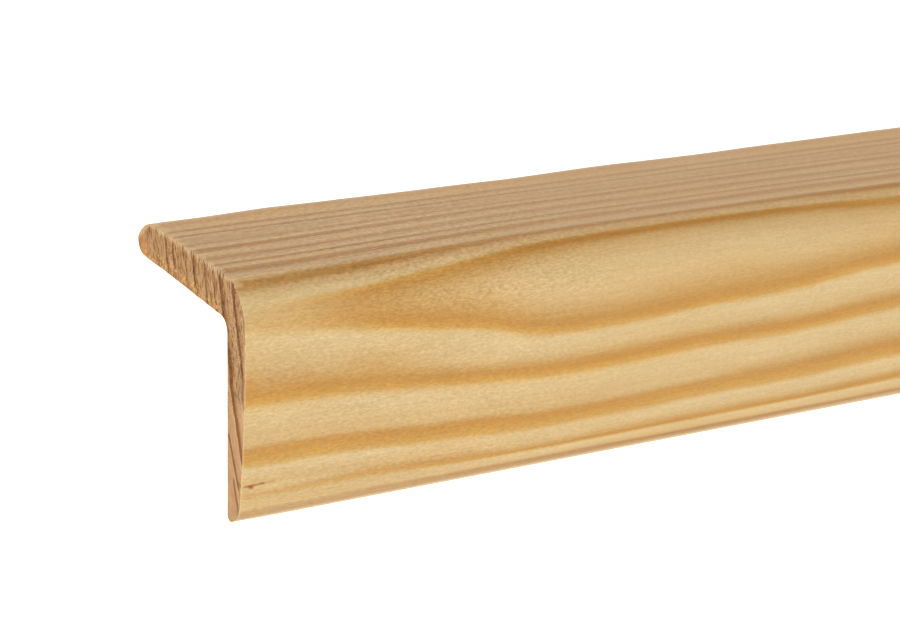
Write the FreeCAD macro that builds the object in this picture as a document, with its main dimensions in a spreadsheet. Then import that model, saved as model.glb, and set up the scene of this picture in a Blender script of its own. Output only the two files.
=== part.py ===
"""Corner guard moulding: one length of planed pine angle, lying as a ridge on its two free edges.

The section is an L. The two outer faces are slightly crowned: each leg is thickest beside the
rounded outer corner and thins towards its free edge. The inner faces are flat and square to
each other, because they bear on the two sides of a wall corner, and a small fillet joins them.
Near its free edge each leg falls away over a shoulder into a small nose, has a narrow flat at
its tip, and is eased on its inner side. Both ends are sawn square.

Section frame, before the length is laid down: x along the stock, y back from the front face,
z up from the top face, so the outer corner is at (0, 0), the top leg runs along +y and the
front leg runs along -z.
"""

import FreeCAD, Part
import math
import os

import Sketcher
from FreeCAD import Vector

DRIVING_SIZES = {
    "stock_length": 2400.0,
    "corner_round": 5.0,
    "inner_fillet": 1.6,
    "top_leg_width": 30.0,
    "top_leg_thick": 4.85,
    "top_crown_radius": 400.0,
    "top_shoulder_radius": 7.0,
    "top_nose_radius": 0.9,
    "top_edge_flat": 0.1,
    "top_edge_ease": 1.4,
    "front_leg_width": 28.0,
    "front_leg_thick": 4.5,
    "front_crown_radius": 165.0,
    "front_shoulder_radius": 3.2,
    "front_nose_radius": 1.2,
    "front_edge_flat": 0.2,
    "front_edge_ease": 0.4,
}

STOCK_NAME = "corner_guard"
START, END = 1, 2
CENTRE = 3
ORIGIN_POINT = (-1, 1)


def write_sheet(document):
    """One row for each driving size: its name beside a cell that has that name as its alias."""
    sheet = document.addObject("Spreadsheet::Sheet", "sizes")
    for row, (alias, size) in enumerate(DRIVING_SIZES.items(), start=1):
        sheet.set(f"A{row}", alias)
        sheet.set(f"B{row}", str(size))
        sheet.setAlias(f"B{row}", alias)
    document.recompute()
    return sheet


class Leg:
    """One leg seen along the stock, in its own terms: reach from the outer corner along the leg,
    and depth from the leg's outer face. Angles are measured from straight out of that face and
    towards the free edge."""

    def __init__(self, sheet, name):
        self.name = name
        self.width = sheet.get(f"{name}_leg_width")
        self.thick = sheet.get(f"{name}_leg_thick")
        self.crown = sheet.get(f"{name}_crown_radius")
        self.shoulder = sheet.get(f"{name}_shoulder_radius")
        self.nose = sheet.get(f"{name}_nose_radius")
        self.flat = sheet.get(f"{name}_edge_flat")
        self.ease = sheet.get(f"{name}_edge_ease")
        self.corner_round = sheet.get("corner_round")

    def ease_centre(self):
        return self.width - self.ease, self.thick - self.ease

    def nose_centre(self):
        return self.width - self.nose, self.thick - self.ease - self.flat

    def crown_angle(self):
        """Where the crown's arc, which leaves the corner round along the leg, runs into the shoulder's.

        The centres of the crown, the shoulder and the nose make a triangle with three known sides.
        """
        reach, depth = self.nose_centre()
        along = reach - self.corner_round
        inward = self.crown - depth
        to_nose = math.hypot(along, inward)
        to_shoulder = self.crown - self.shoulder
        between = self.shoulder - self.nose
        cosine = (to_shoulder**2 + to_nose**2 - between**2) / (2 * to_shoulder * to_nose)
        return math.atan2(along, inward) - math.acos(cosine)

    def shoulder_centre(self):
        to_shoulder = self.crown - self.shoulder
        lean = self.crown_angle()
        return self.corner_round + to_shoulder * math.sin(lean), self.crown - to_shoulder * math.cos(lean)

    def shoulder_angle(self):
        """Where the shoulder's arc runs into the nose's."""
        reach, depth = self.shoulder_centre()
        nose_reach, nose_depth = self.nose_centre()
        return math.atan2(nose_reach - reach, depth - nose_depth)


def draw_arc(sketch, centre_y, centre_z, radius, start, end):
    """Adds a counter-clockwise arc, with its angles in radians, and returns its number."""
    circle = Part.Circle(Vector(centre_y, centre_z, 0), Vector(0, 0, 1), radius)
    return sketch.addGeometry(Part.ArcOfCircle(circle, start, end))


def draw_line(sketch, from_y, from_z, to_y, to_z):
    return sketch.addGeometry(Part.LineSegment(Vector(from_y, from_z, 0), Vector(to_y, to_z, 0)))


def draw_outline(sketch, sheet, top, front):
    """Draws the section counter-clockwise from the top leg's inner face, and returns its pieces by name."""
    quarter = math.pi / 2
    fillet = sheet.get("inner_fillet")
    corner = sheet.get("corner_round")
    piece = {}

    # Top leg: the section's y is the leg's reach, and z is minus its depth.
    reach, depth = top.ease_centre()
    piece["top_inner_face"] = draw_line(sketch, front.thick + fillet, -top.thick, reach, -top.thick)
    piece["top_ease"] = draw_arc(sketch, reach, -depth, top.ease, 3 * quarter, 4 * quarter)
    reach, nose_depth = top.nose_centre()
    piece["top_flat"] = draw_line(sketch, top.width, -depth, top.width, -nose_depth)
    shoulder_turn = quarter - top.shoulder_angle()
    piece["top_nose"] = draw_arc(sketch, reach, -nose_depth, top.nose, 0, shoulder_turn)
    reach, depth = top.shoulder_centre()
    crown_turn = quarter - top.crown_angle()
    piece["top_shoulder"] = draw_arc(sketch, reach, -depth, top.shoulder, shoulder_turn, crown_turn)
    piece["top_crown"] = draw_arc(sketch, corner, -top.crown, top.crown, crown_turn, quarter)

    piece["corner"] = draw_arc(sketch, corner, -corner, corner, quarter, 2 * quarter)

    # Front leg: the section's z is minus the leg's reach, and y is its depth.
    crown_turn = 2 * quarter + front.crown_angle()
    piece["front_crown"] = draw_arc(sketch, front.crown, -corner, front.crown, 2 * quarter, crown_turn)
    reach, depth = front.shoulder_centre()
    shoulder_turn = 2 * quarter + front.shoulder_angle()
    piece["front_shoulder"] = draw_arc(sketch, depth, -reach, front.shoulder, crown_turn, shoulder_turn)
    reach, nose_depth = front.nose_centre()
    piece["front_nose"] = draw_arc(sketch, nose_depth, -reach, front.nose, shoulder_turn, 3 * quarter)
    reach, depth = front.ease_centre()
    piece["front_flat"] = draw_line(sketch, nose_depth, -front.width, depth, -front.width)
    piece["front_ease"] = draw_arc(sketch, depth, -reach, front.ease, 3 * quarter, 4 * quarter)
    piece["front_inner_face"] = draw_line(sketch, front.thick, -reach, front.thick, -top.thick - fillet)

    inside = (front.thick + fillet, -top.thick - fillet)
    piece["fillet"] = draw_arc(sketch, *inside, fillet, quarter, 2 * quarter)
    return piece


def join_outline(sketch, piece):
    """Ties each piece to the next one, end to end and without a kink."""
    joins = [
        ("top_inner_face", END, "top_ease", START),
        ("top_ease", END, "top_flat", START),
        ("top_flat", END, "top_nose", START),
        ("top_nose", END, "top_shoulder", START),
        ("top_shoulder", END, "top_crown", START),
        ("top_crown", END, "corner", START),
        ("corner", END, "front_crown", START),
        ("front_crown", END, "front_shoulder", START),
        ("front_shoulder", END, "front_nose", START),
        ("front_nose", END, "front_flat", START),
        ("front_flat", END, "front_ease", START),
        ("front_ease", END, "front_inner_face", START),
        ("front_inner_face", END, "fillet", END),
        ("fillet", START, "top_inner_face", START),
    ]
    for first, first_end, second, second_end in joins:
        sketch.addConstraint(
            Sketcher.Constraint("Tangent", piece[first], first_end, piece[second], second_end)
        )


def bind(sketch, name, constraint, expression):
    """Adds a dimension and ties it to the sheet."""
    number = sketch.addConstraint(constraint)
    sketch.renameConstraint(number, name)
    sketch.setExpression(f"Constraints.{name}", expression)


def dimension_outline(sketch, sheet, piece, top, front):
    """Squares the flat faces and ties every size of the outline to the sheet."""
    sketch.addConstraint(Sketcher.Constraint("Horizontal", piece["top_inner_face"]))
    sketch.addConstraint(Sketcher.Constraint("Vertical", piece["top_flat"]))
    sketch.addConstraint(Sketcher.Constraint("Vertical", piece["front_inner_face"]))
    sketch.addConstraint(Sketcher.Constraint("Horizontal", piece["front_flat"]))

    corner = sheet.get("corner_round")
    radii = [
        ("corner", corner, "corner_round"),
        ("fillet", sheet.get("inner_fillet"), "inner_fillet"),
    ]
    for leg in (top, front):
        radii += [
            (f"{leg.name}_crown", leg.crown, f"{leg.name}_crown_radius"),
            (f"{leg.name}_shoulder", leg.shoulder, f"{leg.name}_shoulder_radius"),
            (f"{leg.name}_nose", leg.nose, f"{leg.name}_nose_radius"),
            (f"{leg.name}_ease", leg.ease, f"{leg.name}_edge_ease"),
        ]
    for arc, radius, size in radii:
        bind(sketch, f"{arc}_radius", Sketcher.Constraint("Radius", piece[arc], radius), f"sizes.{size}")

    # Distances from the section's origin, which is where the two outer faces would meet.
    places = [
        ("corner_in", "DistanceX", "corner", CENTRE, corner, "sizes.corner_round"),
        ("corner_down", "DistanceY", "corner", CENTRE, -corner, "-sizes.corner_round"),
        ("top_crown_start", "DistanceX", "top_crown", END, corner, "sizes.corner_round"),
        ("front_crown_start", "DistanceY", "front_crown", START, -corner, "-sizes.corner_round"),
        ("top_tip", "DistanceX", "top_flat", START, top.width, "sizes.top_leg_width"),
        ("front_tip", "DistanceY", "front_flat", START, -front.width, "-sizes.front_leg_width"),
        ("top_face_down", "DistanceY", "top_inner_face", START, -top.thick, "-sizes.top_leg_thick"),
        ("front_face_in", "DistanceX", "front_inner_face", START, front.thick, "sizes.front_leg_thick"),
    ]
    for name, kind, target, point, distance, expression in places:
        constraint = Sketcher.Constraint(kind, *ORIGIN_POINT, piece[target], point, distance)
        bind(sketch, name, constraint, expression)
    for leg, kind in ((top, "DistanceY"), (front, "DistanceX")):
        line = piece[f"{leg.name}_flat"]
        constraint = Sketcher.Constraint(kind, line, START, line, END, leg.flat)
        bind(sketch, f"{leg.name}_flat_width", constraint, f"sizes.{leg.name}_edge_flat")


def make_stock(document, sheet, top, front):
    """The moulding before it is laid down: the section drawn once and run along the stock."""
    body = document.addObject("PartDesign::Body", STOCK_NAME)
    body.Label = STOCK_NAME
    section_plane = next(f for f in body.Origin.OriginFeatures if f.Role == "YZ_Plane")
    sketch = body.newObject("Sketcher::SketchObject", "section")
    sketch.AttachmentSupport = [(section_plane, "")]
    sketch.MapMode = "FlatFace"
    document.recompute()
    piece = draw_outline(sketch, sheet, top, front)
    join_outline(sketch, piece)
    dimension_outline(sketch, sheet, piece, top, front)
    document.recompute()
    if sketch.solve() != 0 or not sketch.FullyConstrained:
        raise RuntimeError("the section is not fully constrained")

    run = body.newObject("PartDesign::Pad", "run")
    run.Profile = sketch
    run.SideType = "Symmetric"
    run.setExpression("Length", "sizes.stock_length")
    document.recompute()
    return body


def ridge_angle(top, front):
    """Turn about the stock's length, in radians, that brings both free edges to one level, ridge up.

    Each edge touches the floor on the arc that eases its inner side, so the floor is the line
    that touches both arcs from below.
    """
    top_reach, top_depth = top.ease_centre()
    front_reach, front_depth = front.ease_centre()
    across = top_reach - front_depth
    up = front_reach - top_depth
    return math.asin((top.ease - front.ease) / math.hypot(across, up)) - math.atan2(up, across)


def lay_down(document, body, top, front):
    """Turns the stock ridge up, stands it on z = 0 and centres it over the origin."""
    turn = FreeCAD.Rotation(Vector(1, 0, 0), math.degrees(ridge_angle(top, front)))
    body.Placement = FreeCAD.Placement(Vector(0, 0, 0), turn)
    document.recompute()
    box = body.Shape.BoundBox
    reach, depth = top.ease_centre()
    lowest = turn.multVec(Vector(0, reach, -depth)).z - top.ease
    body.Placement = FreeCAD.Placement(Vector(0, -(box.YMin + box.YMax) / 2, -lowest), turn)
    document.recompute()


def check(document, bodies):
    """Stops the build if any object failed or any piece is not one sound solid."""
    for item in document.Objects:
        if "Invalid" in item.State or "Error" in item.State:
            raise RuntimeError(f"{item.Label} failed: {item.State}")
    for body in bodies:
        shape = body.Shape
        if shape.isNull() or not shape.isValid() or len(shape.Solids) != 1:
            raise RuntimeError(f"{body.Label} is not one valid solid")


def main():
    document = FreeCAD.newDocument("corner_guard_moulding")
    sheet = write_sheet(document)
    top = Leg(sheet, "top")
    front = Leg(sheet, "front")
    stock = make_stock(document, sheet, top, front)
    lay_down(document, stock, top, front)
    check(document, [stock])

    os.makedirs("parts", exist_ok=True)
    stock.Shape.exportStep(f"parts/{stock.Label}.step")
    box = stock.Shape.BoundBox
    volume = stock.Shape.Volume
    print(f"{stock.Label}: volume {volume / 1000:.1f} cm3, section {volume / box.XLength:.2f} mm2")
    print(f"  x {box.XMin:.3f} {box.XMax:.3f}  y {box.YMin:.3f} {box.YMax:.3f}")
    print(f"  z {box.ZMin:.3f} {box.ZMax:.3f}")
    print(f"  turned {math.degrees(ridge_angle(top, front)):.4f} degrees")


main()
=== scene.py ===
import math

import bpy
import numpy as np
from mathutils import Matrix, Vector


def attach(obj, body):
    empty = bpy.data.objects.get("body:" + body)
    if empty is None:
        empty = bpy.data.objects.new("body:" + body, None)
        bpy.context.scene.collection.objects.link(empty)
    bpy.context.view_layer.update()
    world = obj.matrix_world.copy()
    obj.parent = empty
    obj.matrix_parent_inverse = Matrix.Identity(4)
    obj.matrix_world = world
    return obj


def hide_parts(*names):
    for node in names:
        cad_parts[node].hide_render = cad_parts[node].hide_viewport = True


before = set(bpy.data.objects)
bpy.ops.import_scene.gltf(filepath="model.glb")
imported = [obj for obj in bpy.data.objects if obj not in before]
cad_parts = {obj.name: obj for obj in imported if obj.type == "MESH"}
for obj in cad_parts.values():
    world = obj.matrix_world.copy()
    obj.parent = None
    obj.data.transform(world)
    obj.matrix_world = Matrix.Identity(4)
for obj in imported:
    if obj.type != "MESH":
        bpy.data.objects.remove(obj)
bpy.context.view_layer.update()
mm = 0.001
scene = bpy.context.scene

# The stock, sizes in mm. Section: y back from the front face, z up from the top face, x along the stock.
guard = {
    "length": 2400.0,
    "cornerRound": 5.0,
    "innerFillet": 1.6,
    "top": {"width": 30.0, "thick": 4.85, "crown": 400.0, "shoulder": 7.0,
            "nose": 0.9, "flat": 0.1, "ease": 1.4},
    "front": {"width": 28.0, "thick": 4.5, "crown": 165.0, "shoulder": 3.2,
              "nose": 1.2, "flat": 0.2, "ease": 0.4},
    "cellsAlongTop": 178,    # mesh cells from the free edge to the corner
    "cellsAlongFront": 164,
    "cellsThrough": 28,      # and through the thickness
    "tipRows": 14.0,         # rows of cells that follow the round of a free edge
    "nearStations": (0.0, 0.3, 0.7, 1.3, 2.4),             # from the seen end
    "farStations": (12.0, 6.0, 2.4, 1.3, 0.7, 0.3, 0.0),   # from the far end
    "seenEnd": 122.0,        # the stretch at the seen end that gets close stations
    "seenStep": 4.0,
    "stepGrowth": 1.12,
    "longestStep": 60.0,
    "weldWithin": 0.002,
    "sharpFrom": 0.9,        # the bend of an edge, in radians, that isn't shaded smooth
    "raisedGrain": 0.03,     # how far the soft wood sinks between the rings
    "sawDepth": 0.16,        # how deep the saw tears the end grain
    "chipDepth": 0.12,       # how deep it chips the outer faces beside the cut
    "sawCell": (0.22, 1.6, 1.0),    # the size of the tears: across the rings and along them
    "chipCell": (0.45, 1.2, 2.0),   # and of the chips: across the rings, along x and along the rings
    "fullNose": 0.15,        # how much fuller the front leg's nose is than its round
    # How far the top leg's free edge bulges out, at places along the first stretch:
    # it isn't planed dead straight.
    "edgeLine": ((0, 0.1), (4, 0.14), (8, 0.12), (11, 0.22), (14, 0.28), (17, 0.25), (20, 0.21),
                 (26, 0.17), (30, 0.13), (36, 0.09), (40, 0.11), (46, 0.03), (53, 0.11), (61, 0.2),
                 (68, 0.12), (76, 0.08), (84, 0.17), (92, 0.17), (104, 0.22), (120, 0.15)),
}

# The year rings, in mm from the outer corner.
rings = {
    "pith": (-150.0, 38.0),   # the heart of the tree, in front of the stock and above it
    "aroundAt": 160.0,        # how far from the pith the way round it is measured
    "widths": (2.5, 2.4, 3.25, 1.98, 2.97, 1.6, 2.5, 3.1, 2.1, 1.9, 1.5, 2.1, 3.1, 2.6, 2.6, 2.8),
    # The share of each ring's width at which it is darkest, and how strongly it shows.
    "darkest": (0.72, 0.72, 0.86, 0.69, 0.67, 0.81, 0.72, 0.72,
                0.72, 0.72, 0.72, 0.72, 0.72, 0.72, 0.72, 0.72),
    "strengths": (1, 1, 1, 1, 1, 1, 0.65, 1, 0.5, 0.15, 0.9, 0.85, 0.25, 0.3, 0.3, 0.3),
    "darkestAt": 0.72,        # where a year is darkest in the wood's colours
    "strengthAt": 0.8,        # and where its strength is read
    "firstEdge": -6.1,
    # How far the rings swing back from the front face, at places along the first stretch.
    "swing": ((0, 0), (6, 0.05), (12, 0.2), (20, 0.6), (30, 1.1), (38, 1.42), (46, 1.45),
              (60, 1.25), (72, 1.2), (84, 0.85), (100, 0.5), (120, 0.3)),
    # How much less they do so near the corner, and on its round.
    "nearCorner": ((0, 0.78), (6, 0.67), (12, 0.58), (20, 0.6), (28, 0.48), (36, 0.24),
                   (48, 0.09), (60, 0.12), (75, 0.25), (90, 0.25), (120, 0.1)),
    "onRound": ((0, 0.15), (12, 0.22), (20, 0.25), (28, 0.38), (36, 0.5), (48, 0.45),
                (60, 0.2), (75, 0.25), (100, 0.2), (120, 0.1)),
    # How much less at the foot, and how much more just above it at the cut.
    "atFoot": ((0, 0.5), (12, 0.5), (20, 0.62), (36, 1.0), (60, 0.95), (120, 0.8)),
    "footStart": 0.22,
    "reach": 120.0,           # how long the first stretch is
    "swingFade": 50.0,        # the swing dies out this far below the corner
    "wander": 2.6,            # past the first stretch the rings go their own way
    "runOut": 0.0016,         # the grain isn't quite in line with the stock
    "waves": 0.2,             # small waves in every ring, and finer ones in the colours
    "fineWaves": 0.12,
    # The size of each one's cells, along x, y and z.
    "wanderCell": (170.0, 1.0, 90.0),
    "waveCell": (16.0, 5.0, 5.0),
    "fineWaveCell": (3.5, 1.3, 1.3),
}

class Wire:   # one output of a node, which can be reckoned with like a number
    def __init__(self, bench, socket):
        self.bench = bench
        self.socket = socket

    def __add__(self, other):
        return self.bench.sum("ADD", self, other)

    def __radd__(self, other):
        return self.bench.sum("ADD", other, self)

    def __sub__(self, other):
        return self.bench.sum("SUBTRACT", self, other)

    def __rsub__(self, other):
        return self.bench.sum("SUBTRACT", other, self)

    def __mul__(self, other):
        return self.bench.sum("MULTIPLY", self, other)

    def __rmul__(self, other):
        return self.bench.sum("MULTIPLY", other, self)

    def __truediv__(self, other):
        return self.bench.sum("DIVIDE", self, other)

    def __pow__(self, other):
        return self.bench.sum("POWER", self, other)

class Bench:   # a node tree, of a material or of geometry
    def __init__(self, tree):
        self.tree = tree

    def node(self, kind, settings=(), links=(), out=0):
        made = self.tree.nodes.new(kind)
        for name, value in dict(settings).items():
            if name == "stops":
                self.setStops(made.color_ramp, value)
            elif name == "points":
                self.setPoints(made.mapping, value, dict(settings).get("handles", "AUTO"))
            elif name == "handles":
                continue
            else:
                setattr(made, name, value)
        for name, value in dict(links).items():
            for part in value if isinstance(value, list) else [value]:   # a list joins several wires
                if isinstance(part, Wire):
                    self.tree.links.new(part.socket, made.inputs[name])
                else:
                    made.inputs[name].default_value = part
        return None if out is None else Wire(self, made.outputs[out])

    def setStops(self, ramp, stops):
        while len(ramp.elements) < len(stops):
            ramp.elements.new(1.0)
        for element, (place, colour) in zip(ramp.elements, stops):
            element.position = place
            element.color = colour

    def setPoints(self, mapping, points, handles):
        curve = mapping.curves[0]
        while len(curve.points) < len(points):
            curve.points.new(1.0, 1.0)
        for point, (x, y) in zip(curve.points, points):
            point.location = (x, y)
            point.handle_type = handles
        mapping.update()

    def sum(self, work, first, second):   # a Math node on two values
        return self.node("ShaderNodeMath", {"operation": work}, {0: first, 1: second})

    def only(self, work, value):          # and on one
        return self.node("ShaderNodeMath", {"operation": work}, {0: value})

    def vector(self, x, y, z):
        return self.node("ShaderNodeCombineXYZ", {}, {0: x, 1: y, 2: z})

    def parts(self, vector):
        made = self.node("ShaderNodeSeparateXYZ", {}, {0: vector})
        return [Wire(self, socket) for socket in made.socket.node.outputs]

    def noise(self, x, y, z, detail, rough=0.5):
        place = self.vector(x, y, z)
        return self.node("ShaderNodeTexNoise", {"noise_dimensions": "3D"},
                         {"Vector": place, "Scale": 1.0, "Detail": detail, "Roughness": rough})

    def cells(self, place, size, detail, rough=0.5):   # noise whose cells have a size of their own
        x, y, z = [part / length for part, length in zip(place, size)]
        return self.noise(x, y, z, detail, rough)

    def ease(self, value, low, high, floor=0.0, roof=1.0):   # a smooth step from floor to roof
        return self.node("ShaderNodeMapRange", {"interpolation_type": "SMOOTHSTEP"},
                         {0: value, 1: low, 2: high, 3: floor, 4: roof})

    # A curve along the first stretch, of heights from -span to span.
    def along(self, x, points, span=2.0):
        curve = [(place / rings["reach"], height / span / 2 + 0.5) for place, height in points]
        share = self.sum("MINIMUM", x / rings["reach"], 1.0)
        level = self.node("ShaderNodeFloatCurve", {"points": curve}, {"Value": share})
        return (level - 0.5) * 2.0 * span

    # A soft line across a plane, from one place to another.
    def line(self, across, up, start, end, thick):
        run = math.dist(start, end)
        stepAcross, stepUp = (end[0] - start[0]) / run, (end[1] - start[1]) / run
        passed = (across - start[0]) * stepAcross + (up - start[1]) * stepUp
        off = self.only("ABSOLUTE", (up - start[1]) * stepAcross - (across - start[0]) * stepUp)
        ends = self.ease(passed, -thick, thick) * self.ease(passed, run + thick, run - thick)
        return ends * self.ease(off, thick, thick * 0.3)

    def mix(self, share, first, second, blend="MIX"):   # of two colours, at the node's colour sockets
        return self.node("ShaderNodeMix", {"data_type": "RGBA", "blend_type": blend},
                         {0: share, 6: first, 7: second}, 2)

# A place in the tree, from a place in the stock: the rings passed on the way out from the pith, the depth
# in mm that they are counted from, and the way round the pith in mm. Places in the stock are in mm too.
def findRings(bench, x, y, z, fine=True):
    pithY, pithZ = rings["pith"]
    outward = ((y - pithY) ** 2 + (z - pithZ) ** 2) ** 0.5 - math.hypot(pithY, pithZ)
    around = bench.sum("ARCTAN2", pithZ - z, y - pithY) * rings["aroundAt"]
    swing = bench.along(x, rings["swing"]) * (z / rings["swingFade"] + 1.0) * bench.ease(y, 20.0, 13.0)
    back = bench.along(x, rings["nearCorner"]) * bench.ease(z, -13.0, -9.0)
    back = back + bench.along(x, rings["onRound"]) * bench.ease(z, -3.5, -1.5)
    foot = bench.along(x, rings["atFoot"]) * bench.ease(z, -24.5, -26.5)
    aboveFoot = bench.ease(x, 17.0, 7.0) * bench.ease(z, -21.8, -23.4) * bench.ease(z, -25.6, -24.6)
    swing = swing - back * bench.ease(y, 8.0, 1.0) - (foot - aboveFoot * rings["footStart"])
    onward = bench.ease(x, 90.0, 240.0)
    wander = bench.cells((x, 3.7, z), rings["wanderCell"], 1.0) - 0.5
    wander = wander * rings["wander"] + (x - rings["reach"]) * rings["runOut"]
    depth = outward - swing - wander * onward
    depth = depth + (bench.cells((x, y, z), rings["waveCell"], 1.0) - 0.5) * rings["waves"]
    if fine:
        depth = depth + (bench.cells((x, y, z), rings["fineWaveCell"], 2.0) - 0.5) * rings["fineWaves"]
    steps, whole = len(rings["widths"]), sum(rings["widths"])
    counts, edge = [(0.0, 0.0)], 0.0
    for number, (width, darkest) in enumerate(zip(rings["widths"], rings["darkest"])):
        counts.append(((edge + darkest * width) / whole, (number + rings["darkestAt"]) / steps))
        edge += width
        counts.append((edge / whole, (number + 1) / steps))
    share = (depth - rings["firstEdge"]) / whole
    count = bench.node("ShaderNodeFloatCurve", {"points": counts, "handles": "VECTOR"}, {"Value": share})
    return count * float(steps), depth, around

# How dark a ring's late wood is, from 0 to 1.
def ringStrength(bench, count):
    steps = len(rings["strengths"])
    levels = [((number + rings["strengthAt"]) / steps, strength)
              for number, strength in enumerate(rings["strengths"])]
    return bench.node("ShaderNodeFloatCurve", {"points": levels}, {"Value": count / steps})

# Points along a polyline, evenly spread by length.
def spread(points, cells):
    points = np.asarray(points)
    run = np.concatenate([[0.0], np.cumsum(np.linalg.norm(np.diff(points, axis=0), axis=1))])
    wanted = np.linspace(0.0, run[-1], cells + 1)
    return np.stack([np.interp(wanted, run, points[:, k]) for k in (0, 1)], 1)

def arc(centre, radius, start, end, places):
    turns = np.linspace(start, end, places)
    return [(centre[0] + radius * math.cos(t), centre[1] + radius * math.sin(t)) for t in turns]

# One leg in its own terms: reach from the outer corner along the leg, depth from the leg's outer face.
# Gives the outer side from the corner to the tip, the tip, and the inner side back to the fillet.
def legSides(leg, otherThick):
    corner, fillet = guard["cornerRound"], guard["innerFillet"]
    crown, shoulder, nose, ease = leg["crown"], leg["shoulder"], leg["nose"], leg["ease"]
    noseCentre = (leg["width"] - nose, leg["thick"] - ease - leg["flat"])
    toNose = math.hypot(noseCentre[0] - corner, crown - noseCentre[1])
    toShoulder, between = crown - shoulder, shoulder - nose
    lean = math.atan2(noseCentre[0] - corner, crown - noseCentre[1])
    lean -= math.acos((toShoulder ** 2 + toNose ** 2 - between ** 2) / (2 * toShoulder * toNose))
    shoulderCentre = (corner + toShoulder * math.sin(lean), crown - toShoulder * math.cos(lean))
    fall = math.atan2(noseCentre[0] - shoulderCentre[0], shoulderCentre[1] - noseCentre[1])
    out = -math.pi / 2   # straight out of the face
    outer = arc((corner, corner), corner, 1.5 * out, out, 30)
    outer += arc((corner, crown), crown, out, out + lean, 200)
    outer += arc(shoulderCentre, shoulder, out + lean, out + fall, 60)
    tip = arc(noseCentre, nose, out + fall, 0.0, 30)
    easeCentre = (leg["width"] - ease, leg["thick"] - ease)
    tip += arc(easeCentre, ease, 0.0, math.pi / 4, 30)
    inner = arc(easeCentre, ease, math.pi / 4, math.pi / 2, 30)
    inner += arc((otherThick + fillet, leg["thick"] + fillet), fillet, out, 1.5 * out, 30)
    return outer, tip, inner

# The section's sides in its own plane. On the top leg reach runs back and depth down,
# and on the front leg the other way.
def sectionSides():
    top, front = guard["top"], guard["front"]
    topSides = [[(reach, -depth) for reach, depth in side] for side in legSides(top, front["thick"])]
    frontSides = [[(depth, -reach) for reach, depth in side] for side in legSides(front, top["thick"])]
    return topSides, frontSides

# The section as a grid of points: rows from the top leg's tip to the front leg's,
# columns from the outer side to the inner one.
def sectionGrid(topSides, frontSides):
    topOuter, topTip, topInner = topSides
    frontOuter, frontTip, frontInner = frontSides
    cellsTop, cellsFront = guard["cellsAlongTop"], guard["cellsAlongFront"]
    outside = np.concatenate([spread(topOuter[::-1], cellsTop)[:-1], spread(frontOuter, cellsFront)])
    inside = np.concatenate([spread(topInner, cellsTop)[:-1], spread(frontInner[::-1], cellsFront)])
    through = guard["cellsThrough"]
    tips = [spread(topTip, through), spread(frontTip, through)]
    across = np.linspace(0.0, 1.0, through + 1)[None, :, None]
    grid = outside[:, None] * (1 - across) + inside[:, None] * across
    row = np.arange(len(outside))[:, None, None] / guard["tipRows"]
    for tip, near in ((tips[0], row), (tips[1], row[::-1])):
        start, end = tip[0], tip[-1]
        bulge = tip[None] - (start * (1 - across) + end * across)
        grid = grid + bulge * np.clip(1 - near, 0.0, 1.0) ** 2
    return grid

# The way round the section's rim, in mm, for each grid point on it.
def measureRim(grid):
    rows, columns = grid.shape[:2]
    rim = [(row, 0) for row in range(rows)]
    rim += [(rows - 1, column) for column in range(1, columns)]
    rim += [(row, columns - 1) for row in range(rows - 2, -1, -1)]
    rim += [(0, column) for column in range(columns - 2, 0, -1)]
    girth = np.zeros((rows, columns))
    walked = 0.0
    for near, far in zip(rim, rim[1:]):
        walked += float(np.linalg.norm(grid[far] - grid[near]))
        girth[far] = walked
    return girth, walked + float(np.linalg.norm(grid[rim[0]] - grid[rim[-1]]))

# The section as a flat mesh, in the plane that a sweep takes it in: sideways is -y, upwards is -z.
def makeSection(grid, girth):
    rows, columns = grid.shape[:2]
    flat = np.concatenate([-grid.reshape(-1, 2) * mm, np.zeros((rows * columns, 1))], 1)
    number = np.arange(rows * columns).reshape(rows, columns)
    faces = np.stack([number[:-1, :-1], number[:-1, 1:], number[1:, 1:], number[1:, :-1]], -1)
    mesh = bpy.data.meshes.new("section")
    mesh.from_pydata(flat.tolist(), [], faces.reshape(-1, 4).tolist())
    shares = np.arange(rows) / (rows - 1), np.arange(columns) / (columns - 1)
    row, column = np.meshgrid(*shares, indexing="ij")
    for name, values in (("girth", girth), ("fromTop", row), ("inward", column)):
        mesh.attributes.new(name, "FLOAT", "POINT").data.foreach_set("value", values.ravel())
    mesh.update()
    return bpy.data.objects.new("section", mesh)

# The stations that the section is run through: close at both ends, closest at the seen one, and wide
# apart between them.
def makeRun():
    places = list(guard["nearStations"])
    while places[-1] < guard["seenEnd"]:
        places.append(places[-1] + guard["seenStep"])
    farEnd = [guard["length"] - place for place in guard["farStations"]]
    step = guard["seenStep"]
    while places[-1] + step < farEnd[0] - step:
        places.append(places[-1] + step)
        step = min(step * guard["stepGrowth"], guard["longestStep"])
    places += farEnd
    mesh = bpy.data.meshes.new("run")
    mesh.from_pydata([(place * mm, 0.0, 0.0) for place in places],
                     [(k, k + 1) for k in range(len(places) - 1)], [])
    return bpy.data.objects.new("run", mesh)

# How the stock lies: turned about its length until both free edges are on the floor, ridge up.
def layDown(sides):
    top, front = guard["top"], guard["front"]
    across = (top["width"] - top["ease"]) - (front["thick"] - front["ease"])
    up = (front["width"] - front["ease"]) - (top["thick"] - top["ease"])
    turn = math.asin((top["ease"] - front["ease"]) / math.hypot(across, up)) - math.atan2(up, across)
    y, z = np.concatenate([np.asarray(side) for side in sides]).T
    turnedY = y * math.cos(turn) - z * math.sin(turn)
    turnedZ = y * math.sin(turn) + z * math.cos(turn)
    shift = (-guard["length"] / 2, -(turnedY.min() + turnedY.max()) / 2, -turnedZ.min())
    return turn, Vector(shift) * mm

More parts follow.
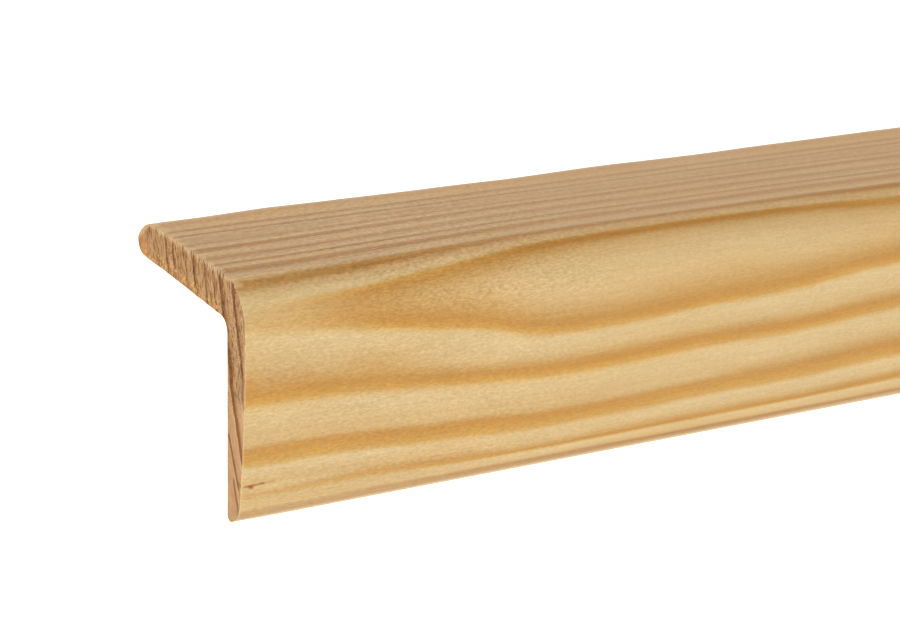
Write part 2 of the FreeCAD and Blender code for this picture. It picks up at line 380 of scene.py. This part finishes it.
# Colours are given as they look on a screen.
def paint(code):
    levels = [int(code[k:k + 2], 16) / 255 for k in (0, 2, 4)]
    return (*[v / 12.92 if v <= 0.04045 else ((v + 0.055) / 1.055) ** 2.4 for v in levels], 1.0)

pine = {
    # Across one year, from the sharp edge of the last ring to the next.
    "year": ((0.0, "cda768"), (0.07, "d1b27c"), (0.15, "d2b480"), (0.3, "d0b17c"), (0.44, "ceac76"),
             (0.54, "c8a268"), (0.63, "c19656"), (0.71, "bc8a45"), (0.8, "bf8b42"), (0.88, "c49246"),
             (0.95, "c79950"), (1.0, "cda768")),
    "mean": "c9a368",        # where the rings are faint
    "pale": "d1b37e",        # where the dark part of a year is missing
    "cutEdge": "e6c69a",     # the broken fibres along the sawn edge
    # the glint colour is painted light: a highlight on cut fibres
    "glint": "e8d8b6",       # cut fibres that catch the light
    "fleck": "94561f",       # a small resin streak
    # the top face's tint: partly its own tone, partly painted shade
    "topToneAndShade": (0.943, 0.84, 0.763),
    # What goes from red, green and blue where the top's late wood, a warm patch and the foot's painted
    # shade are.
    "lateStain": (0.1, 0.11, 0.25),
    "warmStain": (-0.01, 0.03, 0.12),
    "footDarkening": (1.0, 1.15, 1.2),
    "fadeTop": 0.5,          # how much the rings weaken along the top leg
    "fadeLow": 0.5,          # and low on the front leg at the cut
    "paleFirst": (0.55, 0.72),   # how pale the first ring starts, low and high on the front leg
    "paleLowest": 0.3,       # how pale the lowest one does
    "paleCorner": 0.25,      # and the wood beside the corner's round
    "laterAtCut": 0.5,       # how pale the dark part's missing beginning is at the cut
    "laterOnRound": 0.34,    # and on the corner's round
    "palest": 0.9,
    "longFibre": 0.2,        # how much each pattern lightens and darkens the wood
    "longOnTop": 0.04,
    "broadFibre": 0.16,
    "lively": 0.3,           # added to the short fibres in the warm zone
    "edgeStrip": 0.09,       # how much lighter the strip along the top's free edge is
    "ribsInStrip": 0.7,      # and how much of the ribs it loses
    "glints": 0.04,          # how clearly the specks show, and how much more on top
    "glintsOnTop": 0.6,
    "arms": 0.6,             # how dark the streak's arms are beside its drop
    "footShade": 0.16,
    "tufts": 0.35,           # how pale the cut's edge is
    # The size of each pattern's cells in mm: along the stock, across the rings and along them.
    "waveCell": (2.4, 1.1, 1.3),
    "waveShift": (2.0, 4.0),     # how many cells a wave moves the short fibres, across and along the rings
    "shortCell": (0.55, 0.2, 0.2),
    "longCell": (7.0, 0.25, 0.35),
    "broadCell": (14.0, 1.6, 3.0),
    "ribCell": (18.0, 0.42, 2.0),
    "glintCell": (0.8, 0.17, 0.3),
    "tuftCell": (0.3, 2.0, 3.0),     # across the rings, along the stock and along the rings
    "gritCell": (0.6, 0.45, 0.45),   # along x, y and z
    "warmCell": (30.0, 8.0, 8.0),
    "rough": 0.55,
    "roughChange": 0.15,     # from fibre to fibre
    "bump": 0.012,           # mm
}

sawnEnd = {
    "year": ((0.0, "b48a5e"), (0.08, "c09b73"), (0.5, "b89264"), (0.7, "ab8152"), (0.82, "875623"),
             (0.94, "7a4b1b"), (1.0, "9d7040")),
    "mean": "b28a5c",
    "crumb": "cb8a3c",       # loose crumbs, from golden to pale
    "paleCrumb": "e2b676",
    "lip": "d2b383",         # the pale outer rim
    "tear": "7a4c20",
    "tint": (0.97, 0.935, 0.91),
    # What goes from red, green and blue in the grooves, partly as painted shade, on the worn patch, where
    # the saw tore, at the foot and at the top leg's tip.
    "grooveDarkAndShade": (0.44, 0.54, 0.68),
    "wornStain": (1.0, 1.1, 1.2),
    "tornStain": (0.15, 0.19, 0.27),
    "footDarkening": (0.08, 0.05, 0.0),
    "tipStain": (-0.08, 0.05, 0.25),
    "setBack": 0.32,         # mm that the rings near the corner lie further back than on the sides
    "faint": 0.8,            # how much the weak rings are missing
    "clean": 0.3,            # how much of the torn rows is left where the cut is clean
    "light": 0.1,
    "worn": 0.2,             # how clearly each of these shows
    "frontRim": 0.42,
    "tears": 0.95,
    "crumbs": 0.8,
    "outerLip": 0.6,
    "shoulderAt": 24.6,      # where the top face begins to turn down
    # The size of each pattern's cells in mm: across the rings, along them and along the stock.
    "rowCell": (0.19, 1.5, 3.0),
    "beadCell": (0.13, 0.24, 1.0),
    "crumbCell": (0.5, 0.6, 0.5),    # along x, y and z
    "clusterCell": (1.0, 2.0, 1.4),
    "rough": 0.85,
    "bump": 0.07,
}

# How far the late wood stands out, across one year.
lateWood = ((0.0, 0.7), (0.06, 0.3), (0.13, 0.0), (0.4, 0.08), (0.58, 0.35), (0.72, 0.9), (0.9, 1.0),
            (1.0, 0.7))

woodShine = 0.35
woodShade = (0.86, 1.0, 1.3)   # red, green and blue in wood's shade, which is warmer than its light

# The soft lines of the resin streak, a drop and two thin arms: from, to, thickness, and an arm's weight.
# Places are along the stock and up.
streakDrop = ((1.0, -22.98), (1.45, -23.16), 0.3)
streakArms = (((0.4, -22.9), (2.8, -22.82), 0.24, 1.0), ((2.4, -22.84), (4.2, -22.72), 0.28, 0.35))

# The tears low on the sawn end, with places back from the front face and up.
endTears = (((4.3, -17.8), (1.5, -23.4), 0.36, 1.0), ((3.0, -22.6), (1.65, -26.1), 0.34, 0.9),
            ((0.6, -22.9), (1.7, -22.5), 0.3, 0.7))

def stockPlace(bench, turn, shift):   # back from the floor's frame to the section's, in mm
    coords = bench.node("ShaderNodeTexCoord", {}, {}, "Object")
    inverse = (Matrix.Translation(shift) @ Matrix.Rotation(turn, 4, "X")).inverted()
    placed = bench.node("ShaderNodeMapping", {"vector_type": "POINT"},
                        {"Vector": coords, "Location": inverse.translation / mm,
                         "Rotation": inverse.to_euler(), "Scale": (1 / mm,) * 3})
    return bench.parts(placed)

def newMaterial(name):
    material = bpy.data.materials.new(name)
    material.use_nodes = True
    material.node_tree.nodes.clear()
    return material, Bench(material.node_tree)

def finishMaterial(bench, values):
    shader = bench.node("ShaderNodeBsdfPrincipled", {}, values)
    bench.node("ShaderNodeOutputMaterial", {}, {"Surface": shader}, None)

def finishWood(bench, colour, rough, height, depth):
    bump = bench.node("ShaderNodeBump", {}, {"Height": height, "Strength": 1.0, "Distance": depth * mm})
    finishMaterial(bench, {"Base Color": colour, "Roughness": rough, "Specular IOR Level": woodShine,
                           "Normal": bump})

def ringColour(bench, year, strength, wood):
    stops = [(place, paint(code)) for place, code in wood["year"]]
    colour = bench.node("ShaderNodeValToRGB", {"stops": stops}, {"Fac": year})
    return bench.mix(strength, paint(wood["mean"]), colour)

def shade(bench, colour, factors):   # times one factor each for red, green and blue
    return bench.mix(1.0, colour, bench.vector(*factors), "MULTIPLY")

def light(bench, colour, amount):   # lighter where the amount is above 0, darker where it is below
    return shade(bench, colour, [1.0 + amount * part for part in woodShade])

# used both for the wood's own stains and for painted shade
def stainAndShade(bench, colour, amount, loss):   # takes some red, green and blue away
    return shade(bench, colour, [1.0 - amount * part for part in loss])

# How pale each place is where the dark part of a year is missing or starts late.
def findPale(bench, x, y, z, year, depth):
    onFront = bench.ease(z, -1.5, -3.0)
    first = bench.ease(depth, 2.4, 2.1)
    second = bench.ease(depth, 4.4, 4.1) * bench.ease(x, 10.0, 4.0)
    third = bench.ease(depth, 4.1, 4.4) * bench.ease(depth, 7.2, 7.0)
    # at the cut the first and the lowest ring on the front leg start pale
    pale = bench.ease(x, 18.0, 0.0) * onFront * first * bench.ease(z, -5.0, -3.5, *pine["paleFirst"])
    lowest = bench.ease(x, 12.0, 0.0) * bench.ease(z, -22.8, -23.4) * bench.ease(z, -26.0, -25.2)
    pale = pale + lowest * pine["paleLowest"]
    # the dark part of the others starts later there, of the third also for some way along, and of the
    # first where it crosses the corner's round
    later = bench.ease(x - third * 50.0, 17.0, 9.0) * onFront * (1.0 - first) * pine["laterAtCut"]
    crossing = bench.ease(x, 38.0, 46.0) * bench.ease(z, -4.0, -2.5) * bench.ease(y, 3.2, 2.0)
    later = later + crossing * pine["laterOnRound"]
    pale = pale + later * bench.ease(year, 0.45, 0.55) * bench.ease(year - second * 0.06, 0.76, 0.62)
    # and beside the corner's round there is hardly any
    corner = bench.ease(x, 18.0, 8.0) * bench.ease(z, -2.2, -1.2) * bench.ease(y, 4.6, 3.6)
    pale = pale + corner * pine["paleCorner"]
    return bench.sum("MINIMUM", pale, pine["palest"])

def makePine(turn, shift):
    material, bench = newMaterial("pine")
    x, y, z = stockPlace(bench, turn, shift)
    count, depth, around = findRings(bench, x, y, z)
    year = bench.only("FRACT", count)
    onTop = bench.ease(y + z, -0.6, 2.4)
    # the lines weaken along the top leg, and low on the front leg they start weak
    fade = 1.0 - bench.ease(x, 5.0, 60.0) * bench.ease(y, 3.0, 7.0) * pine["fadeTop"]
    fade = fade * (1.0 - bench.ease(x, 45.0, 0.0) * bench.ease(z, -21.5, -22.5) * pine["fadeLow"])
    strength = ringStrength(bench, count) * fade
    colour = ringColour(bench, year, strength, pine)
    colour = bench.mix(findPale(bench, x, y, z, year, depth), colour, paint(pine["pale"]))
    late = bench.node("ShaderNodeFloatCurve", {"points": lateWood}, {"Value": year})
    colour = stainAndShade(bench, colour, late * strength * onTop, pine["lateStain"])

    # fibres: short ones all over, long ones under them, and waves where the planer lifted them
    inTree = x, depth, around
    wave = (bench.cells(inTree, pine["waveCell"], 1.0) - 0.5) * bench.ease(x, 8.0, 25.0, 0.35, 0.85)
    shortX, shortDepth, shortAround = [part / length for part, length in zip(inTree, pine["shortCell"])]
    across, along = pine["waveShift"]
    fibre = bench.noise(shortX, shortDepth + wave * across, shortAround + wave * along, 2.0, 0.6)
    long = bench.cells(inTree, pine["longCell"], 2.0, 0.6)
    broad = bench.cells(inTree, pine["broadCell"], 2.0)
    # livelier in the warm zone under the corner
    lively = bench.ease(z, -7.5, -4.5) * bench.ease(x, 10.0, 18.0) * bench.ease(x, 50.0, 38.0)
    grain = (fibre - 0.5) * (bench.ease(x, 28.0, 50.0, 0.72, 0.45) + lively * pine["lively"])
    grain = grain + (long - 0.5) * (pine["longFibre"] + pine["longOnTop"] * onTop)
    grain = grain + (broad - 0.5) * pine["broadFibre"]
    # the top is rougher, with ribs along it, painted as the light and shade of raised grain, and grit, and
    # smoother and lighter along its free edge
    ribLightAndShade = bench.cells(inTree, pine["ribCell"], 1.0)
    grit = bench.cells((x, y, z), pine["gritCell"], 1.0)
    strip = bench.ease(y, 22.2, 23.0)
    ribLightAndShade = (ribLightAndShade - 0.5) * onTop * bench.ease(x, 15.0, 45.0, 0.55, 0.1)
    grain = grain + ribLightAndShade * (1.0 - strip * pine["ribsInStrip"])
    grain = grain + strip * bench.ease(y, 29.0, 27.0) * pine["edgeStrip"]
    grain = grain + (grit - 0.5) * onTop * bench.ease(x, 30.0, 50.0, 0.65, 0.34)
    colour = light(bench, colour, grain)

    # painted glints: cut fibres that catch the light
    glint = bench.ease(bench.cells(inTree, pine["glintCell"], 1.0), 0.64, 0.76)
    most = pine["glintsOnTop"] * bench.ease(y, 3.0, 6.0)
    most = most * bench.ease(x, 5.0, 15.0) * bench.ease(x, 75.0, 50.0)
    colour = bench.mix(glint * (pine["glints"] + most), colour, paint(pine["glint"]))
    # warmer in broad patches, and darker and browner on top: partly the top face's own tone, partly
    # painted shade
    warm = bench.ease(bench.cells((x, y, z), pine["warmCell"], 1.0), 0.3, 0.7) - 0.5
    colour = stainAndShade(bench, colour, warm, pine["warmStain"])
    colour = bench.mix(onTop, colour, shade(bench, colour, pine["topToneAndShade"]))

    # the resin streak: a drop between two thin arms
    outside = bench.ease(y, 3.0, 2.0)
    up = z + (fibre - 0.5) * 0.3
    drop = bench.line(x, up, *streakDrop)
    first, second = [bench.line(x, up, *arm[:3]) * arm[3] for arm in streakArms]
    fleck = bench.sum("MINIMUM", drop + (first + second) * pine["arms"], 1.0)
    colour = bench.mix(fleck * outside, colour, paint(pine["fleck"]))
    # a darker line where the foot's round begins, and painted shade, darker and browner, on the foot's
    # round under it, which turns down
    fromLine = z + 26.1 + bench.sum("MINIMUM", x, 60.0) * 0.006 + (long - 0.5) * 0.3
    foot = bench.ease(bench.only("ABSOLUTE", fromLine), 0.38, 0.08) * pine["footShade"]
    foot = foot + bench.ease(z, -26.2, -26.6) * pine["footShade"]
    foot = foot + bench.ease(z, -26.5, -27.2) * pine["footShade"]
    colour = stainAndShade(bench, colour, foot * outside, pine["footDarkening"])
    # pale fibres along the cut, in ragged tufts on top
    ragged = bench.cells((depth, x, around), pine["tuftCell"], 2.0, 0.6)
    edge = bench.ease(x - onTop * (ragged * 4.0 - 1.8), 0.3, 0.1)
    colour = bench.mix(edge * pine["tufts"], colour, paint(pine["cutEdge"]))
    rough = pine["rough"] + (fibre - 0.5) * pine["roughChange"]
    finishWood(bench, colour, rough, fibre * 0.7 + long * 0.3, pine["bump"])
    return material

def makeSawnEnd(turn, shift):
    material, bench = newMaterial("sawnEnd")
    x, y, z = stockPlace(bench, turn, shift)
    # in the cut the rings near the corner lie a little further back
    shifted = y - bench.ease(z, -16.0, -12.5) * bench.ease(y, 9.0, 3.0) * sawnEnd["setBack"]
    count, depth, around = findRings(bench, x, shifted, z)
    # the first ring hardly shows in the cut, and low on the front leg those behind the third are faint
    faint = bench.ease(z, -12.0, -16.0) * bench.ease(depth, 7.0, 7.5) * sawnEnd["faint"]
    faint = faint + bench.ease(depth, 2.25, 2.05) * sawnEnd["faint"]
    strength = ringStrength(bench, count) * (1.0 - faint)
    colour = ringColour(bench, bench.only("FRACT", count), strength, sawnEnd)

    # torn fibres stand in rows along the rings, with dark grooves between them: the grooves' colour is
    # partly the end grain's own dark and partly painted shade
    row = bench.cells((depth, around, x), sawnEnd["rowCell"], 1.0, 0.6)
    bead = bench.cells((depth, around, 4.4), sawnEnd["beadCell"], 1.0)
    torn = bench.ease(z, -15.5, -11.0)   # the lower part is cut cleaner
    tornShare = sawnEnd["clean"] + (1.0 - sawnEnd["clean"]) * torn
    groove = bench.ease(row, 0.5, 0.38) * tornShare * bench.ease(y, 28.0, 26.0, 0.3, 1.0)
    # beads show most near the corner, and rows further back
    beads = (bead - 0.5) * bench.ease(y, 5.0, 8.0, 1.4, 0.95)
    rows = (row - 0.5) * bench.ease(y, 5.0, 8.0, 0.5, 1.05)
    colour = light(bench, colour, sawnEnd["light"] + (beads + rows) * tornShare)
    colour = stainAndShade(bench, colour, groove, sawnEnd["grooveDarkAndShade"])
    colour = shade(bench, colour, sawnEnd["tint"])

    # a worn patch on the front leg, and the front rim lighter down to where the cut is clean
    worn = bench.ease(z, -14.5, -12.0) * bench.ease(z, -9.0, -11.0) * bench.ease(y, 2.8, 1.6)
    colour = stainAndShade(bench, colour, worn * sawnEnd["worn"], sawnEnd["wornStain"])
    corner, topLeg, frontLeg = guard["cornerRound"], guard["top"], guard["front"]
    fromFront = y - bench.sum("MAXIMUM", -corner - z, 0.0) ** 2.0 / (2 * frontLeg["crown"])
    rim = bench.ease(fromFront, 0.9, 0.15) * bench.ease(z, -1.5, -3.5) * bench.ease(z, -16.0, -14.0)
    colour = bench.mix(rim * sawnEnd["frontRim"], colour, paint(sawnEnd["lip"]))
    # browner where it is torn, at the foot and at the top leg's tip
    foot = bench.ease(z, -25.5, -27.0)
    stains = zip(sawnEnd["tornStain"], sawnEnd["footDarkening"])
    colour = shade(bench, colour, [1.0 - torn * inTorn - foot * atFoot for inTorn, atFoot in stains])
    tip = bench.ease(y, 26.5, 28.5) * bench.ease(z, -2.0, -3.4)
    colour = stainAndShade(bench, colour, tip, sawnEnd["tipStain"])

    # short tears low on the front leg
    sideways = y + (row - 0.5) * 0.25
    tears = 0.0
    for start, end, thick, weight in endTears:
        tears = bench.sum("MAXIMUM", tears, bench.line(sideways, z, start, end, thick) * weight)
    colour = bench.mix(tears * sawnEnd["tears"], colour, paint(sawnEnd["tear"]))
    # loose crumbs in clusters near the inner edge, and pale tufts at the outer one
    crumb = bench.ease(bench.cells((x, y, z), sawnEnd["crumbCell"], 1.0), 0.48, 0.62)
    cluster = bench.cells((7.0, y, z), sawnEnd["clusterCell"], 1.0)
    crumb = crumb * bench.ease(cluster, 0.38, 0.58, 0.25, 1.0)
    crumb = crumb * bench.ease(z, -3.1, -3.9) * bench.ease(y, 5.0, 8.0) * bench.ease(y, 28.8, 27.5)
    crumbs = bench.mix(bench.ease(bead, 0.45, 0.6), paint(sawnEnd["crumb"]), paint(sawnEnd["paleCrumb"]))
    colour = bench.mix(crumb * sawnEnd["crumbs"], colour, crumbs)
    pastShoulder = bench.sum("MAXIMUM", y - sawnEnd["shoulderAt"], 0.0)
    toTop = z + (y - corner) ** 2.0 / (2 * topLeg["crown"])   # 0 at the top face and less under it
    toTop = toTop + pastShoulder ** 2.0 / (2 * topLeg["shoulder"])
    lip = bench.ease(toTop + row * 2.4, 0.45, 1.1) * bench.ease(y, 2.0, 5.0)
    colour = bench.mix(lip * sawnEnd["outerLip"], colour, paint(sawnEnd["lip"]))
    finishWood(bench, colour, sawnEnd["rough"], row * 0.7 + bead * 0.3, sawnEnd["bump"])
    return material

# The moulder: runs the section through the stations, closes the ends, raises the grain and roughens
# the saw cuts. The section is the object that it works on.
def makeMoulder():
    tree = bpy.data.node_groups.new("moulder", "GeometryNodeTree")
    kinds = {"Section": "Geometry", "Run": "Object", "Length": "Float", "Raised grain": "Float",
             "Saw depth": "Float", "Chip depth": "Float", "Full nose": "Float", "Turn": "Float",
             "Shift": "Vector", "Planed": "Material", "Sawn": "Material"}
    sockets = {name: tree.interface.new_socket(name=name, in_out="INPUT", socket_type="NodeSocket" + kind)
               for name, kind in kinds.items()}
    tree.interface.new_socket(name="Guard", in_out="OUTPUT", socket_type="NodeSocketGeometry")
    bench = Bench(tree)
    given = bench.node("NodeGroupInput").socket.node
    take = {name: Wire(bench, given.outputs[name]) for name in sockets}

    # sides
    edgeFaces = bench.node("GeometryNodeInputMeshEdgeNeighbors")
    rim = bench.node("FunctionNodeCompare", {"data_type": "INT", "operation": "EQUAL"},
                     {2: edgeFaces, 3: 1})
    profile = bench.node("GeometryNodeMeshToCurve", {}, {"Mesh": take["Section"], "Selection": rim})
    runMesh = bench.node("GeometryNodeObjectInfo", {}, {"Object": take["Run"]}, "Geometry")
    path = bench.node("GeometryNodeMeshToCurve", {}, {"Mesh": runMesh})
    sides = bench.node("GeometryNodeCurveToMesh", {}, {"Curve": path, "Profile Curve": profile})

    # ends
    upright = Matrix(((0, 0, 1), (-1, 0, 0), (0, -1, 0))).to_euler()
    nearEnd = bench.node("GeometryNodeTransform", {}, {"Geometry": take["Section"], "Rotation": upright})
    nearEnd = bench.node("GeometryNodeFlipFaces", {}, {"Mesh": nearEnd})
    farPlace = bench.vector(take["Length"] * mm, 0.0, 0.0)
    farEnd = bench.node("GeometryNodeTransform", {},
                        {"Geometry": take["Section"], "Rotation": upright, "Translation": farPlace})
    ends = bench.node("GeometryNodeJoinGeometry", {}, {0: [nearEnd, farEnd]})
    ends = bench.node("GeometryNodeStoreNamedAttribute", {"data_type": "BOOLEAN", "domain": "FACE"},
                      {"Geometry": ends, "Name": "sawn", "Value": True})
    whole = bench.node("GeometryNodeJoinGeometry", {}, {0: [sides, ends]})
    whole = bench.node("GeometryNodeMergeByDistance", {},
                       {"Geometry": whole, "Distance": guard["weldWithin"] * mm})

    # the planed sides: soft wood sinks between the rings, and the top leg's edge isn't dead straight
    place = bench.node("GeometryNodeInputPosition")
    x, y, z = [part / mm for part in bench.parts(place)]
    count, depth, around = findRings(bench, x, y, z, fine=False)
    late = bench.node("ShaderNodeFloatCurve", {"points": lateWood}, {"Value": bench.only("FRACT", count)})
    sink = (1.0 - late * ringStrength(bench, count)) * take["Raised grain"]
    bulge = bench.along(x, guard["edgeLine"]) * bench.ease(y, 22.0, 25.5) * bench.ease(y, 29.3, 28.0)
    # torn fibres along the outer side of both cuts, most of all across the top
    fromFar = take["Length"] - x
    fromCut = bench.sum("MINIMUM", x, fromFar)
    inward = bench.node("GeometryNodeInputNamedAttribute", {"data_type": "FLOAT"}, {"Name": "inward"})
    outside = bench.ease(inward, 0.0, 0.4, 1.0, 0.0)
    onTop = bench.ease(y + z, -1.6, 1.6, 0.25, 1.0) * bench.ease(y, 27.5, 24.0)
    tuft = bench.cells((depth, x, around), guard["chipCell"], 2.0, 0.6)
    chips = bench.ease(tuft, 0.4, 0.7, 0.2, 1.0) * bench.ease(fromCut, 0.0, 0.9, 1.0, 0.0)
    chips = chips * outside * onTop * take["Chip depth"]
    # the front leg's nose is a little fuller than the cutter's round
    normal = bench.node("GeometryNodeInputNormal")
    _, normalY, normalZ = bench.parts(normal)
    size = bench.sum("MAXIMUM", (normalY * normalY + normalZ * normalZ) ** 0.5, 0.05)   # never nought
    nose = bench.ease(normalZ / size, -0.84, -0.97) * bench.ease(normalY / size, 0.1, -0.1)
    nose = nose * bench.ease(z, -25.0, -26.0) * bench.ease(x, 0.0, 5.0, 0.6, 1.0)
    push = (bulge + nose * take["Full nose"] - sink - chips) / size * mm
    # the saw cuts, torn least along the inner edges and at the tips
    row = bench.cells((depth, around, 5.1), guard["sawCell"], 2.0, 0.6)
    fromTop = bench.node("GeometryNodeInputNamedAttribute", {"data_type": "FLOAT"}, {"Name": "fromTop"})
    tips = bench.ease(fromTop, 0.0, 0.06) * bench.ease(fromTop, 1.0, 0.96)
    torn = bench.ease(row, 0.3, 0.72) * bench.ease(z, -22.0, -10.0, 0.35, 1.0)
    torn = torn * bench.ease(inward, 1.0, 0.9) * tips * take["Saw depth"] * mm
    # 1 on the near cut, -1 on the far one
    atEnds = bench.sum("LESS_THAN", x, 0.001) - bench.sum("LESS_THAN", fromFar, 0.001)
    offset = bench.vector(atEnds * torn, normalY * push, normalZ * push)
    whole = bench.node("GeometryNodeSetPosition", {}, {"Geometry": whole, "Offset": offset})

    # shading
    bend = bench.node("GeometryNodeInputMeshEdgeAngle")
    sharp = bench.sum("GREATER_THAN", bend, guard["sharpFrom"])
    whole = bench.node("GeometryNodeSetShadeSmooth", {"domain": "FACE"},
                       {"Geometry": whole, "Shade Smooth": True})
    whole = bench.node("GeometryNodeSetShadeSmooth", {"domain": "EDGE"},
                       {"Geometry": whole, "Selection": sharp, "Shade Smooth": False})

    # onto the floor
    turned = bench.vector(take["Turn"], 0.0, 0.0)
    whole = bench.node("GeometryNodeTransform", {},
                       {"Geometry": whole, "Rotation": turned, "Translation": take["Shift"]})
    whole = bench.node("GeometryNodeRealizeInstances", {}, {"Geometry": whole})
    whole = bench.node("GeometryNodeSetMaterial", {}, {"Geometry": whole, "Material": take["Planed"]})
    sawn = bench.node("GeometryNodeInputNamedAttribute", {"data_type": "BOOLEAN"}, {"Name": "sawn"})
    whole = bench.node("GeometryNodeSetMaterial", {},
                       {"Geometry": whole, "Material": take["Sawn"], "Selection": sawn})
    bench.node("NodeGroupOutput", {}, {0: whole}, None)
    return tree, {name: socket.identifier for name, socket in sockets.items()}

layout = {
    "inset": 2.0,         # mm of room before the stock's end in a row of sides
    "spare": 80.0,        # and, with that, past its middle
    "margin": 0.01,       # this and the rest are shares of the sheet
    "rowWidth": 0.98,
    "rowFloor": 0.075,
    "rowHeight": 0.455,
    "rowGap": 0.01,
    "rowFill": 0.99,
    "cutWidth": 0.48,
    "cutStep": 0.5,
    "cutFloor": 0.008,
    "cutHeight": 0.056,
}

def readAll(items, name, kind=float, parts=1):   # a value of every vertex, corner or face of a mesh
    values = np.empty(len(items) * parts, kind)
    items.foreach_get(name, values)
    return values

# A flat layout of the whole skin, which the textures are drawn on: the sides in two rows, half the
# length in each, and the two cuts side by side below them.
def layOut(mesh, girthAll):
    vertexOf = readAll(mesh.loops, "vertex_index", int)
    starts = readAll(mesh.polygons, "loop_start", int)
    totals = readAll(mesh.polygons, "loop_total", int)
    faceOf = np.repeat(np.arange(len(totals)), totals)   # corners follow the faces' order
    cut = (readAll(mesh.polygons, "material_index", int) == 1)[faceOf]
    points = readAll(mesh.vertices, "co", parts=3).reshape(-1, 3)
    along = points[:, 0][vertexOf] / mm + guard["length"] / 2
    girth, fromTop, inward = [readAll(mesh.attributes[name].data, "value")[vertexOf]
                              for name in ("girth", "fromTop", "inward")]
    # the face that closes the way round has both its first and its last places
    highest = np.maximum.reduceat(girth, starts)[faceOf]
    girth[(highest > girthAll * 0.6) & (girth < girthAll * 0.4)] += girthAll
    far = (np.add.reduceat(along, starts) / totals > guard["length"] / 2)[faceOf]
    fromEnd = np.where(far, guard["length"] + layout["inset"] - along, along + layout["inset"])
    share = fromEnd / (guard["length"] / 2 + layout["spare"])
    row = layout["rowHeight"]
    u = layout["margin"] + layout["rowWidth"] * share
    v = layout["rowFloor"] + far * (row + layout["rowGap"]) + row * layout["rowFill"] * girth / girthAll
    cutU = layout["margin"] + layout["cutWidth"] * fromTop + far * layout["cutStep"]
    cutV = layout["cutFloor"] + layout["cutHeight"] * inward
    places = np.stack([np.where(cut, cutU, u), np.where(cut, cutV, v)], 1)
    mesh.uv_layers.new(name="OFBake").data.foreach_set("uv", places.ravel())
    for name in ("girth", "fromTop", "inward", "sawn"):
        mesh.attributes.remove(mesh.attributes[name])

def makeGuard():
    topSides, frontSides = sectionSides()
    grid = sectionGrid(topSides, frontSides)
    girth, girthAll = measureRim(grid)
    turn, shift = layDown(topSides + frontSides)
    section = makeSection(grid, girth)
    run = makeRun()
    for helper in (section, run):
        scene.collection.objects.link(helper)
    tree, identifier = makeMoulder()
    modifier = section.modifiers.new("moulder", "NODES")
    modifier.node_group = tree
    planed = makePine(turn, shift)
    sawn = makeSawnEnd(turn, shift)
    print("wood: planed and sawn")
    inputs = {"Run": run, "Length": guard["length"], "Raised grain": guard["raisedGrain"],
              "Saw depth": guard["sawDepth"], "Chip depth": guard["chipDepth"],
              "Full nose": guard["fullNose"], "Turn": turn, "Shift": shift, "Planed": planed, "Sawn": sawn}
    for name, value in inputs.items():
        modifier[identifier[name]] = value
    shown = section.evaluated_get(bpy.context.evaluated_depsgraph_get())
    mesh = bpy.data.meshes.new_from_object(shown)
    mesh.name = "cornerGuard"
    section.modifiers.clear()
    for helper in (section, run):
        bpy.data.objects.remove(helper)
    layOut(mesh, girthAll)
    piece = bpy.data.objects.new("cornerGuard", mesh)
    scene.collection.objects.link(piece)
    triangles = sum(len(face.vertices) - 2 for face in mesh.polygons)
    print("guard:", len(mesh.polygons), "faces,", triangles, "triangles")
    return piece, turn, shift

view = {
    "place": (-94.27, -211.97, 81.69),   # mm, in the section's frame, from the seen end's outer corner
    "right": (0.87743, -0.47868, 0.03137),
    "forward": (0.45962, 0.82016, -0.34071),
    "lens": 94.39,
    "sensor": 36.0,
    "clip": (0.02, 60.0),                # m
}

def makeCamera(turn, shift):
    data = bpy.data.cameras.new("camera")
    data.lens = view["lens"]
    data.sensor_width = view["sensor"]
    data.clip_start, data.clip_end = view["clip"]
    camera = bpy.data.objects.new("camera", data)
    scene.collection.objects.link(camera)
    right = Vector(view["right"]).normalized()
    back = -Vector(view["forward"]).normalized()
    up = back.cross(right).normalized()
    right = up.cross(back)
    axes = Matrix((right, up, back)).transposed().to_4x4()
    place = Matrix.Translation(Vector(view["place"]) * mm)
    lay = Matrix.Translation(shift) @ Matrix.Rotation(turn, 4, "X")
    camera.matrix_world = lay @ place @ axes
    scene.camera = camera

studio = {
    "white": (1.0, 1.0, 1.0, 1.0),
    "floor": 40.0,
    "floorTone": (0.93, 0.93, 0.93, 1.0),
    "floorRough": 0.9,
    "floorShine": 0.1,
    "floorGlow": 0.6,                  # a table lit from below
    "sky": 0.43,
    "sun": 2.14,
    "sunSoft": 60.0,
    "sunFrom": (-0.45, -0.35, 0.82),   # towards the light
}

def makeStudio():
    half = studio["floor"] / 2
    mesh = bpy.data.meshes.new("floor")
    corners = [(-half, -half, 0), (half, -half, 0), (half, half, 0), (-half, half, 0)]
    mesh.from_pydata(corners, [], [(0, 1, 2, 3)])
    floor = bpy.data.objects.new("floor", mesh)
    scene.collection.objects.link(floor)
    material, bench = newMaterial("paleFloor")
    finishMaterial(bench, {"Base Color": studio["floorTone"], "Roughness": studio["floorRough"],
                           "Specular IOR Level": studio["floorShine"], "Emission Color": studio["white"],
                           "Emission Strength": studio["floorGlow"]})
    mesh.materials.append(material)

    world = bpy.data.worlds.new("studio")
    world.use_nodes = True
    background = world.node_tree.nodes["Background"]
    background.inputs["Color"].default_value = studio["white"]
    background.inputs["Strength"].default_value = studio["sky"]
    scene.world = world

    lamp = bpy.data.lights.new("softbox", "SUN")
    lamp.energy = studio["sun"]
    lamp.angle = math.radians(studio["sunSoft"])
    sun = bpy.data.objects.new("softbox", lamp)
    scene.collection.objects.link(sun)
    sun.rotation_mode = "QUATERNION"
    sun.rotation_quaternion = Vector(studio["sunFrom"]).to_track_quat("Z", "Y")

piece, turn, shift = makeGuard()
makeCamera(turn, shift)
makeStudio()
scene.view_settings.view_transform = "Standard"
print("camera and studio")

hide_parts("corner_guard")
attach(piece, "root")
